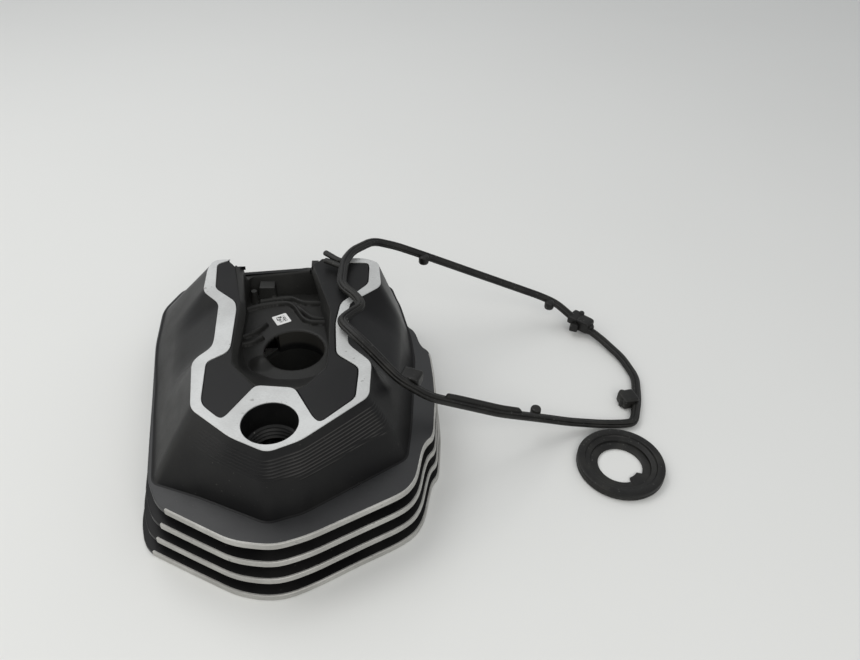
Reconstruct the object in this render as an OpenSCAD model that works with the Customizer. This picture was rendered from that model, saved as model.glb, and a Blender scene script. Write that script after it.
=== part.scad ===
// Finned cylinder-head cover with its loose rim gasket and spark-plug well seal.
// Millimetres. The origin is the plug-well axis on the gasket plane; z runs up, y to the back.

/* [Cover] */
// height of the milled land above the gasket plane
cover_h = 91; // [80:0.5:100]
// height of the top cooling fin's upper face, where the dome starts
ledge_z = 45.5; // [42:0.5:50]
// wall of the cast dome
dome_wall = 4; // [3:0.5:6]
// depth of the milled frame and of the pads above the deck
land_t = 4; // [2:0.5:6]
// how far the black pads sit below the milled frame
pad_drop = 0.5; // [0.2:0.1:1.5]
// gap between the pads and the milled frame
pad_gap = 0.5; // [0.3:0.1:1.5]

/* [Cooling fins] */
// number of cooling fins round the base
fin_count = 4; // [4:1:4]
// thickness of one fin
fin_t = 4.5; // [3:0.5:6]
// how far the fins stand out from the skirt wall
fin_depth = 9; // [6:0.5:12]
// depth of the bare milled strip on the fin edge
strip_d = 1.2; // [0.6:0.1:2]

/* [Bores] */
// bore radius of the plug well
well_r = 21; // [18:0.5:23]
// radius of the oil filler hole
filler_r = 16; // [13:0.5:18]
// radius inside the filler thread
thread_r = 14.4; // [12:0.1:17]
// height of the channel floor
floor_z = 57; // [54:0.5:60]

/* [Gasket and seal] */
// radius of the gasket cord
cord_r = 2.8; // [2:0.1:3.5]
// outside radius of the plug-well seal
seal_r = 30.5; // [28:0.5:31]
// hole radius of the plug-well seal
seal_bore = 15.5; // [14:0.5:18]
// height of the plug-well seal
seal_h = 6; // [6:0.5:9]

/* [Hidden] */
deck_z = cover_h - land_t;
deck_t = 3;
skirt_t = 4;
fin_pitch = (ledge_z - fin_t) / (fin_count - 1);
fold_z = ledge_z + 20.5;
filler_x = -5;
filler_y = -102;
seal_x = 224.3;
seal_y = -66.5;
seat_r = 31.5;
seat_h = 9.5;
$fn = 64;

// outline of the bottom fin, back left corner first, then round the front to the back right
low_line = [[-100, 91], [-108, 69], [-105, 22], [-98, -34], [-95, -70], [-92.5, -101], [-86.5, -120],
    [-55, -138], [-28, -153], [-12, -157], [2, -156.5], [18, -150], [44, -136.5], [68, -125],
    [79, -117], [85, -106], [89, -90], [92, -78], [97, -72], [101, -39], [101.5, -15],
    [100.5, 8], [94, 15], [90, 32], [84, 39], [81, 60], [74, 91]];
// the same corners on the top fin
high_line = [[-92, 91], [-103.5, 63], [-101, 22], [-92, -34], [-86.5, -70], [-81.5, -101], [-72, -121],
    [-45, -137], [-27, -147.5], [-9, -151], [0, -151], [16, -146], [44, -132], [68, -120],
    [74, -115], [79, -107], [84, -85], [87, -79], [92, -74], [96, -41], [96.5, -16],
    [95.5, 8], [89, 15], [86, 32], [80, 38.5], [77, 60], [70.5, 91]];
// foot of the dome on the ledge
foot_line = [[-60, 88], [-89, 88], [-100.8, 62.5], [-98.5, 22], [-96, 5], [-90.5, -24],
    [-89, -34], [-87.3, -45], [-85.5, -55], [-77, -104], [-48, -116], [-8, -136], [12, -130],
    [73, -92], [77, -65], [79, -45], [80, -33], [83, 0], [81.5, 24], [75.5, 62], [68, 89]];
// fold in the dome's flank, halfway up
fold_line = [[-53, 77], [-75, 73], [-84, 58], [-81.5, 24], [-78.5, 6], [-75, -24], [-74, -34],
    [-72.5, -45], [-71.5, -55], [-66, -97], [-38, -115], [-7, -131], [12.5, -124], [64, -88.5],
    [68, -61], [70, -43], [70.5, -33], [72, 2], [74, 25], [68, 60], [58, 76]];
// top of the dome, the outer edge of the milled frame
top_line = [[-39, 63], [-59, 62], [-62, 52], [-61, 24], [-48.5, 10], [-46.2, -29], [-47, -36],
    [-54.5, -45], [-56.5, -51], [-51, -89], [-26, -112], [-5, -124], [13, -116], [51, -83],
    [53, -53], [39, -36], [38, -31], [39, 8], [61, 27], [60, 56], [50, 62]];
// inner edge of the milled frame from the back right round to the back left
frame_inner = [[38, 57], [52, 56], [53, 51], [52, 30], [33, 8], [30, -13], [31, -44], [44, -56],
    [45, -60], [43, -84], [23, -103], [19, -99], [7, -74], [-16, -71], [-31, -97], [-34, -97],
    [-44, -87], [-46, -82], [-48, -49], [-37, -41], [-35, -36], [-36, 4], [-38, 12], [-53, 27],
    [-56, 57], [-46, 59]];
// channel edge on top and on its floor
chan_top = [[-38.5, 55.5], [-31, 10], [-31, -39], [-29, -50], [-16, -69], [7, -72], [12, -71],
    [24, -55], [25, -36], [25, 1], [21, 16], [11, 55.5]];
chan_low = [[-35, 64], [-37.5, 14], [-37, 0], [-31, -20], [-13, -30], [0, -31], [10, -30],
    [20, -26], [24, -18], [24.5, 1], [22, 16], [15, 66]];

function mix(a, b, t) = [for (i = [0 : len(a) - 1]) a[i] * (1 - t) + b[i] * t];

// curve from one side of a corner to the other, starting and ending r from it
function bend(a, p, b, r, t) =
    let (s = p + (a - p) * min(0.45, r / norm(a - p)))
    let (e = p + (b - p) * min(0.45, r / norm(b - p)))
    s * (1 - t) * (1 - t) + p * 2 * t * (1 - t) + e * t * t;

// closed outline with softened corners, four points each
function rounded(p, r = 5) = [for (i = [0 : len(p) - 1]) for (k = [0 : 3])
    bend(p[(i + len(p) - 1) % len(p)], p[i], p[(i + 1) % len(p)], r, k / 3)];

// the same on an open line, which keeps both ends
function soft_open(p, r = 5) = concat([p[0]], [for (i = [1 : len(p) - 2]) for (k = [0 : 3])
    bend(p[i - 1], p[i], p[i + 1], r, k / 3)], [p[len(p) - 1]]);

// closed corner cutting for the gasket's run
function cut(p) = [for (i = [0 : len(p) - 1]) for (k = [0 : 1])
    let (q = p[(i + 1) % len(p)]) k == 0 ? p[i] * 0.75 + q * 0.25 : p[i] * 0.25 + q * 0.75];

function unit(v) = v / norm(v);
function side(a, b) = let (d = unit(b - a)) [-d[1], d[0]];

// mitred inset of a closed outline, positive goes inward for a counterclockwise one
function inset(p, d) = [for (i = [0 : len(p) - 1])
    let (a = p[(i + len(p) - 1) % len(p)])
    let (b = p[(i + 1) % len(p)])
    let (n1 = side(a, p[i]))
    let (n2 = side(p[i], b))
    let (m = n1 + n2)
    p[i] + m * (d / max(0.6, (m * m) / 2))];

// mitred sideways shift of an open line
function shift(p, d) = [for (i = [0 : len(p) - 1])
    let (a = p[max(i - 1, 0)])
    let (b = p[min(i + 1, len(p) - 1)])
    p[i] + side(a, b) * d];

function at_z(p, z) = [for (q = p) [q[0], q[1], z]];
function backward(p) = [for (i = [len(p) - 1 : -1 : 0]) p[i]];

// walls between loops that close on themselves, like a tube bent into a ring
module ring_loft(loops) {
    n = len(loops[0]);
    m = len(loops);
    pts = [for (l = loops) for (q = l) q];
    tris = [for (j = [0 : m - 1]) for (i = [0 : n - 1]) for (k = [0 : 1])
        let (a = j * n + i)
        let (b = j * n + (i + 1) % n)
        let (c = ((j + 1) % m) * n + (i + 1) % n)
        let (d = ((j + 1) % m) * n + i)
        k == 0 ? [a, c, b] : [a, d, c]];
    polyhedron(points = pts, faces = tris);
}

// solid carried along a closed or open run of sections
module sweep(loops, closed) {
    n = len(loops[0]);
    m = len(loops);
    last = closed ? m - 1 : m - 2;
    pts = [for (l = loops) for (q = l) q];
    tris = [for (j = [0 : last]) for (i = [0 : n - 1]) for (k = [0 : 1])
        let (a = j * n + i)
        let (b = j * n + (i + 1) % n)
        let (c = ((j + 1) % m) * n + (i + 1) % n)
        let (d = ((j + 1) % m) * n + i)
        k == 0 ? [a, b, c] : [a, c, d]];
    first_cap = [for (i = [n - 1 : -1 : 0]) i];
    end_cap = [for (i = [0 : n - 1]) (m - 1) * n + i];
    polyhedron(points = pts, faces = closed ? tris : concat(tris, [first_cap, end_cap]));
}

function fin_line(i) = mix(low_line, high_line, i / (fin_count - 1));
skirt_out = rounded(inset(high_line, fin_depth));
skirt_in = rounded(inset(high_line, fin_depth + skirt_t));

module dome_shell() {
    rows = [[foot_line, ledge_z], [mix(foot_line, fold_line, 0.5), (ledge_z + fold_z) / 2],
        [fold_line, fold_z], [mix(fold_line, top_line, 0.5), (fold_z + deck_z) / 2],
        [top_line, deck_z]];
    out_loops = [for (q = rows) at_z(rounded(q[0]), q[1])];
    in_loops = [for (k = [4 : -1 : 0]) at_z(rounded(inset(rows[k][0], dome_wall)), rows[k][1])];
    color([0.11, 0.11, 0.115])
    difference() {
        ring_loft(concat(out_loops, in_loops));
        // the channel breaks through the back of the dome below the deck
        translate([-36, 50, 78])
            cube([45, 35, 14]);
        // room for the filler neck
        translate([filler_x, filler_y, 50])
            cylinder(r = filler_r + 3, h = 50);
    }
}

module skirt_wall() {
    color([0.1, 0.1, 0.105])
    linear_extrude(height = ledge_z - fin_t)
    difference() {
        polygon(skirt_out);
        polygon(skirt_in);
    }
}

module base_flange() {
    groove_in = rounded(inset(high_line, fin_depth + skirt_t + 1.5));
    groove_out = rounded(inset(high_line, fin_depth + skirt_t + 7));
    inner = rounded(inset(high_line, fin_depth + skirt_t + 9));
    color([0.13, 0.13, 0.135])
    difference() {
        linear_extrude(height = 7)
        difference() {
            polygon(skirt_in);
            polygon(inner);
        }
        // groove that takes the rim gasket
        translate([0, 0, -1])
        linear_extrude(height = 4)
        difference() {
            polygon(groove_in);
            polygon(groove_out);
        }
    }
}

module deck_plate() {
    color([0.1, 0.1, 0.105])
    translate([0, 0, deck_z - deck_t])
    linear_extrude(height = deck_t)
    difference() {
        polygon(rounded(inset(top_line, dome_wall)));
        polygon(rounded(inset(chan_top, -2.7)));
        polygon(rounded(inset(mix(chan_low, chan_top, 0.9), -2.7)));
        translate([filler_x, filler_y])
            circle(r = filler_r + 3);
        translate([-36, 50])
            square([45, 30]);
    }
}

module channel_walls() {
    steps = [0, 0.33, 0.66, 1];
    out_loops = [for (t = steps)
        at_z(rounded(inset(mix(chan_low, chan_top, t), -2.5)), floor_z + (deck_z - floor_z) * t)];
    in_loops = [for (t = [1, 0.66, 0.33, 0])
        at_z(rounded(mix(chan_low, chan_top, t)), floor_z + (deck_z - floor_z) * t)];
    color([0.12, 0.12, 0.125])
    difference() {
        ring_loft(concat(out_loops, in_loops));
        // lower rim at the back
        translate([-36, 50, 78])
            cube([45, 35, 14]);
    }
}

module channel_floor() {
    color([0.12, 0.12, 0.125])
    translate([0, 0, floor_z - 4])
    linear_extrude(height = 4)
    difference() {
        polygon(rounded(inset(chan_low, -2.5)));
        circle(r = well_r);
    }
}

// flat bar of width w that follows an open line
module bar(line, w, h) {
    soft = soft_open(line, 3);
    linear_extrude(height = h)
        polygon(concat(shift(soft, w / 2), backward(shift(soft, -w / 2))));
}

module channel_beads() {
    color([0.12, 0.12, 0.125])
    translate([0, 0, floor_z])
    difference() {
        intersection() {
            linear_extrude(height = 10)
                polygon(rounded(inset(chan_low, 1.2)));
            beads();
        }
        bosses(0.2);
    }
}

module beads() {
    union() {
        bar([[-36, 45], [-29, 49], [-16, 52], [-8, 52], [-3, 48], [4, 33], [9, 28.5], [24, 28]], 2, 2.5);
        bar([[-29, 54.5], [-16, 57.5], [-6, 58.5], [-1, 55], [3, 52], [20, 51]], 2, 2.5);
        bar([[0, 46.5], [9, 35], [13, 32.5], [24, 32]], 2, 2);
        bar([[-22, 27], [-27, 19], [-37, 13]], 2, 2.5);
        bar([[-23.5, 12], [-30, 6.5], [-37, 5]], 2, 2.5);
    }
}

// raised block and round bosses on the channel floor, grown by a gap where it is asked for
module bosses(grow) {
    union() {
        translate([-29 - grow, 57 - grow, 0])
            cube([12 + 2 * grow, 4 + 2 * grow, 8 + grow]);
        translate([-32, 54, 0])
            cylinder(r = 2.6 + grow, h = 6 + grow);
        translate([-23.4, -11.2, 0])
            cylinder(r = 4 + grow, h = 3 + grow);
    }
}

module channel_bosses() {
    color([0.13, 0.13, 0.135])
    translate([0, 0, floor_z])
    intersection() {
        linear_extrude(height = 10)
            polygon(rounded(inset(chan_low, 1.2)));
        bosses(0);
    }
}

module plug_well_tube() {
    color([0.09, 0.09, 0.095])
    difference() {
        union() {
            cylinder(r = well_r + 4, h = floor_z - 4);
            cylinder(r = seat_r + 4.5, h = 14);
        }
        translate([0, 0, -1])
            cylinder(r = well_r, h = floor_z + 2);
        // seat for the plug-well seal
        translate([0, 0, -1])
            cylinder(r = seat_r, h = seat_h + 1);
        // window in the wall on the left
        translate([-30, -2, 40])
            cube([16, 22, 20]);
    }
}

module filler_neck() {
    color([0.08, 0.08, 0.085])
    translate([filler_x, filler_y, deck_z - 27])
    difference() {
        cylinder(r = filler_r + 3, h = 27);
        translate([0, 0, -1])
            cylinder(r = filler_r, h = 29);
    }
}

module filler_thread() {
    color([0.2, 0.2, 0.21])
    for (k = [0 : 3])
        translate([filler_x, filler_y, deck_z - 25 + 3 * k])
        difference() {
            cylinder(r = filler_r, h = 1.5);
            translate([0, 0, -1])
                cylinder(r = thread_r, h = 4);
        }
}

// strip of the fin edge that is milled bare, from the left corner round to the right side
function edge_strip(i) =
    let (a = rounded(fin_line(i)))
    let (b = rounded(inset(fin_line(i), strip_d)))
    concat([for (k = [24 : 86]) a[k]], [for (k = [86 : -1 : 24]) b[k]]);

module fin(i) {
    color([0.1, 0.1, 0.105])
    translate([0, 0, fin_pitch * i])
    linear_extrude(height = fin_t)
    difference() {
        polygon(rounded(fin_line(i)));
        if (i < fin_count - 1)
            polygon(skirt_out);
        // the top fin runs in under the foot of the dome
        if (i == fin_count - 1)
            intersection() {
                polygon(skirt_in);
                polygon(rounded(inset(foot_line, dome_wall)));
            }
        polygon(edge_strip(i));
    }
}

module fin_edge(i) {
    color([0.78, 0.77, 0.74])
    translate([0, 0, fin_pitch * i])
    linear_extrude(height = fin_t)
        polygon(edge_strip(i));
}

module milled_frame() {
    outer = rounded(top_line);
    inner = soft_open(frame_inner);
    color([0.8, 0.81, 0.8])
    translate([0, 0, deck_z])
    linear_extrude(height = land_t)
    difference() {
        polygon(outer);
        polygon(inner);
        // the back between the two ends of the frame
        polygon([[-46, 59], [-46, 70], [38, 70], [38, 57]]);
        translate([filler_x, filler_y])
            circle(r = filler_r);
    }
}

// both pads of one side before the split at the neck
module pad_side(left) {
    frame_line = soft_open(left
        ? [[-15.5, -71.5], [-31, -97], [-34, -97], [-44, -87], [-46, -82], [-48, -49], [-37, -41],
            [-35, -36], [-36, 4], [-38, 12], [-53, 27], [-56, 57], [-46, 59]]
        : [[38, 57], [52, 56], [53, 51], [52, 30], [33, 8], [30, -13], [31, -44], [44, -56],
            [45, -60], [43, -84], [23, -103], [19, -99], [8, -74]]);
    chan_line = soft_open(left
        ? [[-39, 60.5], [-38, 56], [-31, 10], [-31, -39], [-29, -50], [-17, -68]]
        : [[12, -70], [24, -55], [25, -36], [25, 1], [21, 16], [11.5, 60], [12, 61.5], [37, 60.5]]);
    linear_extrude(height = land_t - pad_drop)
        polygon(concat(shift(frame_line, -pad_gap), chan_line));
}

module pad(left, front) {
    color([0.07, 0.07, 0.075])
    translate([0, 0, deck_z])
    intersection() {
        pad_side(left);
        translate([-80, front ? -140 : -14.9, -1])
            cube([160, front ? 124.9 : 90, 10]);
    }
}

module pad_front_left() {
    pad(true, true);
}

module pad_front_right() {
    pad(false, true);
}

module pad_rear_left() {
    pad(true, false);
}

module pad_rear_right() {
    pad(false, false);
}

module data_label() {
    color([0.92, 0.92, 0.91])
    translate([-11.5, 34, floor_z])
    rotate([0, 0, 27])
    translate([-5, -5, 0])
        cube([10, 10, 0.3]);
}

// centre line of the gasket, leaning from the cover down to the ground
gasket_path = [[33, -17.6, 95.6], [39.4, -9.7, 95.8], [47.3, -1.8, 95.4], [44, 8.3, 95.4],
    [33.1, 21.9, 95.8], [34.8, 49.9, 95.8], [40.5, 64.7, 95.4], [56.1, 83.3, 92],
    [73.8, 87.6, 84.5], [95.1, 90.5, 74], [125.6, 93.7, 59], [160.3, 97.3, 42],
    [196.1, 98.5, 26], [210.6, 97.5, 19], [227.7, 82.4, 10], [243.3, 66.1, 5.6],
    [255.8, 42.5, 3.8], [260.2, 20.2, 3.3], [254.2, -5.3, 3.3], [245, -28.5, 3.3],
    [235.6, -29.7, 3.4], [218.8, -29.9, 4.4], [195.3, -31.6, 9.3], [171.1, -36, 19],
    [139.2, -46.5, 36], [110.2, -52.7, 52], [89.6, -57.7, 64], [70.4, -55.5, 77.5],
    [60.6, -48.5, 85], [50.8, -39.3, 91.5], [42.1, -30.2, 94.8]];
gasket_line = cut(gasket_path);

function cross_dir(a, b) = let (d = b - a) unit([d[1], -d[0], 0]);

// eight-sided sections square to a line, flattened a little
function cord_sections(p, w, h, closed) = [for (i = [0 : len(p) - 1])
    let (a = p[closed ? (i + len(p) - 1) % len(p) : max(i - 1, 0)])
    let (b = p[closed ? (i + 1) % len(p) : min(i + 1, len(p) - 1)])
    let (s = cross_dir(a, b))
    let (u = unit(cross(s, b - a)))
    [for (k = [0 : 7]) p[i] + s * (w * cos(k * 45 + 22.5)) + u * (h * sin(k * 45 + 22.5))]];

module gasket_bead() {
    color([0.06, 0.06, 0.065])
    sweep(cord_sections(gasket_line, cord_r, cord_r, true), true);
}

module gasket_lip() {
    line = [[104, -51, 58], [122, -46.5, 48.5], [140, -42, 39.5], [153, -38, 33]];
    color([0.07, 0.07, 0.075])
    sweep(cord_sections(line, 3.6, 1.4, false), false);
}

module lug(p, w, h) {
    color([0.06, 0.06, 0.065])
    translate(p)
        cylinder(r = w, h = h);
}

module gasket_lugs() {
    union() {
        lug([19, 58, 96], 3, 4);
        lug([96, 87, 71], 4, 7);
        lug([204, 93, 20], 4, 7);
        lug([168, -31, 18], 4, 7);
        lug([78, -50, 69.5], 5.5, 7);
        sweep(cord_sections([[35, 54, 96], [27, 58, 98], [19, 60, 99]], 2.2, 2.2, false), false);
        sweep(cord_sections([[34, 46, 95.6], [26, 47, 96], [19, 50, 96]], 2.2, 1.7, false), false);
    }
}

module gasket_blocks() {
    color([0.06, 0.06, 0.065])
    union() {
        translate([223.5, 82, 4])
        rotate([0, 0, -45])
            cube([14, 8, 11]);
        translate([239, -9.5, 0.4])
            cube([14, 11, 9]);
    }
}

module plug_seal_ring() {
    color([0.06, 0.06, 0.065])
    translate([seal_x, seal_y, 0])
    rotate_extrude()
        polygon([[seal_bore, 0.2], [seal_r, 0.2], [seal_r, seal_h - 1], [seal_r - 1, seal_h],
            [seal_r - 5, seal_h], [seal_r - 6.5, seal_h - 2], [seal_bore + 6, seal_h - 2.5],
            [seal_bore + 4, seal_h - 4], [seal_bore, seal_h - 4.5]]);
}

module plug_seal_tongue() {
    color([0.06, 0.06, 0.065])
    translate([seal_x, seal_y, 0.2])
    rotate([0, 0, -55])
    translate([seal_bore - 3.5, -6, 0])
        cube([5, 12, 3.5]);
}

dome_shell();
skirt_wall();
base_flange();
deck_plate();
channel_walls();
channel_floor();
channel_beads();
channel_bosses();
plug_well_tube();
filler_neck();
filler_thread();
fin(0);  // fin_1
fin(1);  // fin_2
fin(2);  // fin_3
fin(3);  // fin_4
fin_edge(0);  // fin_edge_1
fin_edge(1);  // fin_edge_2
fin_edge(2);  // fin_edge_3
fin_edge(3);  // fin_edge_4
milled_frame();
pad_front_left();
pad_front_right();
pad_rear_left();
pad_rear_right();
data_label();
gasket_bead();
gasket_lip();
gasket_lugs();
gasket_blocks();
plug_seal_ring();
plug_seal_tongue();
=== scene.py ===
import math

import bpy
import bmesh
import numpy as np
from mathutils import Matrix, Vector
from mathutils.geometry import tessellate_polygon


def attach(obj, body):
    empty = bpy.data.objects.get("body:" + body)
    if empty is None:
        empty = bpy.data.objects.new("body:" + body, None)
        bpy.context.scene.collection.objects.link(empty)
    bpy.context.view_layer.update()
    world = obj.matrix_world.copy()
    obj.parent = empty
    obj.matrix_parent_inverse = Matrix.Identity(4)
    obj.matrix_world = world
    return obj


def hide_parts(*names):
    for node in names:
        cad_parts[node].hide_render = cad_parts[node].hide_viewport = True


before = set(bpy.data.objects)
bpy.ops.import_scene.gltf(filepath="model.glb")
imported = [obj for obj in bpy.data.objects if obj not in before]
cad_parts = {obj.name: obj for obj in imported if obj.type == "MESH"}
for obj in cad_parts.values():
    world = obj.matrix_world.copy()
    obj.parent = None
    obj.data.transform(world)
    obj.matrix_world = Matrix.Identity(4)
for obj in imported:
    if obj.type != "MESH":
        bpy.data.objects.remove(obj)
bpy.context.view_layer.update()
mm = 0.001
coverMiddle = np.array([-5.0, -20.0])    # bearings round the cover are taken from here


# outlines and grids

def softLoop(points, reach=5.0, steps=8):
    # every corner becomes a quadratic curve that starts and ends "reach" away from it
    p = np.asarray(points, float)
    back, ahead = np.roll(p, 1, axis=0), np.roll(p, -1, axis=0)
    return bends(back, p, ahead, reach, steps)


def softLine(points, reach=5.0, steps=8):
    # the same on an open line, which keeps its two ends
    p = np.asarray(points, float)
    return np.concatenate([p[:1], bends(p[:-2], p[1:-1], p[2:], reach, steps), p[-1:]])


def bends(back, p, ahead, reach, steps):
    # quadratic curve: start (1 - t)^2 + corner 2 t (1 - t) + end t^2
    a, b = back - p, ahead - p
    start = p + a * np.minimum(0.45, reach / np.linalg.norm(a, axis=-1, keepdims=True))
    end = p + b * np.minimum(0.45, reach / np.linalg.norm(b, axis=-1, keepdims=True))
    t = np.linspace(0, 1, steps).reshape((1, steps) + (1,) * (p.ndim - 1))
    curve = start[:, None] * (1 - t) ** 2 + p[:, None] * 2 * t * (1 - t) + end[:, None] * t * t
    return curve.reshape((-1,) + p.shape[1:])


def filledLoop(points, reach=5.0, steps=8, extra=8):
    # the softened outline with extra points along every straight run
    p = softLoop(points, reach, steps)
    last = p.reshape(-1, steps, 2)[:, -1]
    first = np.roll(p.reshape(-1, steps, 2)[:, 0], -1, axis=0)
    t = (np.arange(extra) + 1.0)[None, :, None] / (extra + 1)
    run = last[:, None] * (1 - t) + first[:, None] * t
    return np.concatenate([p.reshape(-1, steps, 2), run], axis=1).reshape(-1, 2)


def evenLine(points, count):
    # points at equal steps of length along a run
    p = np.asarray(points, float)
    d = np.concatenate([[0], np.cumsum(np.linalg.norm(np.diff(p, axis=0), axis=1))])
    t = np.linspace(0, d[-1], count)
    return np.stack([np.interp(t, d, p[:, k]) for k in range(p.shape[1])], axis=1)


def insetLoop(points, d):
    # every corner moves along the mitre of its two sides, inward for a counterclockwise loop
    p = np.asarray(points, float)
    back, ahead = np.roll(p, 1, axis=0), np.roll(p, -1, axis=0)

    def normal(a, b):
        # each side's direction at length 1, turned a quarter to the left
        w = b - a
        w = w / np.linalg.norm(w, axis=1, keepdims=True)
        return np.stack([-w[:, 1], w[:, 0]], axis=1)

    m = normal(back, p) + normal(p, ahead)
    k = np.maximum(0.6, (m * m).sum(axis=1) / 2)
    return p + m * (d / k)[:, None]


def shiftLine(points, d):
    # sideways by d, to the left of travel
    p = np.asarray(points, float)
    w = np.gradient(p, axis=0)
    w = w / np.linalg.norm(w, axis=1, keepdims=True)
    return p + np.stack([-w[:, 1], w[:, 0]], axis=1) * d


def withZ(loop, z):
    # a flat outline lifted to one height
    return np.column_stack([loop, np.full(len(loop), float(z))])


def sameBearing(loop, other):
    # the points of the other outline that lie in the same direction from the cover's middle
    c = coverMiddle
    a = np.arctan2(*(loop - c).T[::-1])
    b = np.arctan2(*(other - c).T[::-1])
    r = np.linalg.norm(other - c, axis=1)
    order = np.argsort(b)
    radius = np.interp(a, b[order], r[order], period=2 * math.pi)
    return c + np.column_stack([np.cos(a), np.sin(a)]) * radius[:, None]


def lineDistance(points, line):
    # shortest distance from every point to a run of straight stretches
    a, b = line[:-1], line[1:]
    ab = b - a
    rel = points[:, None, :] - a[None]
    t = np.clip((rel * ab).sum(-1) / np.maximum((ab * ab).sum(-1), 1e-9), 0, 1)
    return np.linalg.norm(rel - ab * t[..., None], axis=-1).min(axis=1)


def smooth(x, low, high):
    # t t (3 - 2 t), with t running from 0 at low to 1 at high
    t = np.clip((np.asarray(x, float) - low) / (high - low), 0, 1)
    return t * t * (3 - 2 * t)


def signedPower(w, power):
    # the size raised to a power, with the sign kept
    return np.sign(w) * np.abs(w) ** power


def gridFaces(nu, nv, closeU, closeV):
    # four-sided faces between neighbouring rows and columns
    i = np.arange(nu if closeU else nu - 1)
    j = np.arange(nv if closeV else nv - 1)
    i, j = [a.ravel() for a in np.meshgrid(i, j, indexing="ij")]
    i2, j2 = (i + 1) % nu, (j + 1) % nv
    return np.column_stack([i * nv + j, i2 * nv + j, i2 * nv + j2, i * nv + j2]).tolist()


def makePiece(name, verts, faces, body, finish, replaces=(), soft=35, values=None):
    # points in millimetres and faces made one object that rides on a body
    mesh = bpy.data.meshes.new(name)
    mesh.from_pydata((np.asarray(verts, float).reshape(-1, 3) * mm).tolist(), [], faces)
    for key, array in (values or {}).items():
        attribute = mesh.attributes.new(key, "FLOAT", "POINT")
        attribute.data.foreach_set("value", np.asarray(array, np.float32).ravel())
    bm = bmesh.new()
    bm.from_mesh(mesh)
    bmesh.ops.remove_doubles(bm, verts=bm.verts, dist=2e-6)
    bmesh.ops.recalc_face_normals(bm, faces=bm.faces)
    bm.to_mesh(mesh)
    bm.free()
    piece = bpy.data.objects.new(name, mesh)
    bpy.context.scene.collection.objects.link(piece)
    mesh.shade_smooth()
    mesh.set_sharp_from_angle(angle=math.radians(soft))
    mesh.materials.append(finish)
    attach(piece, body)
    if replaces:
        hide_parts(*replaces)
    return piece


def gridPiece(name, points, body, finish, replaces=(), closeU=True, closeV=True,
              soft=35, values=None, capEnds=False):
    # points[u, v] is the surface, and open runs of a closed section can be capped
    nu, nv = points.shape[:2]
    faces = gridFaces(nu, nv, closeU, closeV)
    if capEnds:
        faces.append(list(range(nv)))
        faces.append([(nu - 1) * nv + k for k in range(nv)])
    return makePiece(name, points, faces, body, finish, replaces, soft, values)


def platePiece(name, loops, low, high, body, finish, replaces=(), edge=0.4, segments=2):
    # a flat plate between two heights; the first loop is its outline and the rest are holes
    count = [len(l) for l in loops]
    start = np.cumsum([0] + count)
    flat = [[Vector((x, y, 0)) for x, y in l] for l in loops]
    tris = [list(t) for t in tessellate_polygon(flat)]
    total = int(start[-1])
    pts = np.concatenate([np.asarray(l, float) for l in loops])
    verts = np.concatenate([withZ(pts, low), withZ(pts, high)])
    faces = [t[::-1] for t in tris] + [[k + total for k in t] for t in tris]
    for s, n in zip(start, count):
        i = np.arange(n)
        a, b = s + i, s + (i + 1) % n
        faces += np.column_stack([a, b, b + total, a + total]).tolist()
    piece = makePiece(name, verts, faces, body, finish, replaces, 40)
    bm = bmesh.new()
    bm.from_mesh(piece.data)
    bmesh.ops.dissolve_limit(bm, angle_limit=math.radians(0.5), verts=[], edges=[
        e for e in bm.edges if len(e.link_faces) == 2 and e.calc_face_angle(0) < 0.005
        and abs(e.link_faces[0].normal.z) > 0.99])
    bm.to_mesh(piece.data)
    bm.free()
    bevel = piece.modifiers.new("edge", "BEVEL")
    bevel.width = edge * mm
    bevel.segments = segments
    bevel.limit_method = "ANGLE"
    bevel.angle_limit = math.radians(50)
    return piece


# finishes

class Wire:
    # one node output with arithmetic on it
    def __init__(self, finish, socket):
        self.finish = finish
        self.socket = socket

    def calc(self, operation, *others):
        # a Math node whose first value is this wire
        return self.finish.node("ShaderNodeMath", {"operation": operation},
                                {k: v for k, v in enumerate((self,) + others)})

    def __add__(self, o):
        return self.calc("ADD", o)

    def __radd__(self, o):
        return self.calc("ADD", o)

    def __sub__(self, o):
        return self.calc("SUBTRACT", o)

    def __rsub__(self, o):
        return self.finish.node("ShaderNodeMath", {"operation": "SUBTRACT"}, {0: o, 1: self})

    def __mul__(self, o):
        return self.calc("MULTIPLY", o)

    def __rmul__(self, o):
        return self.calc("MULTIPLY", o)


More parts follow.
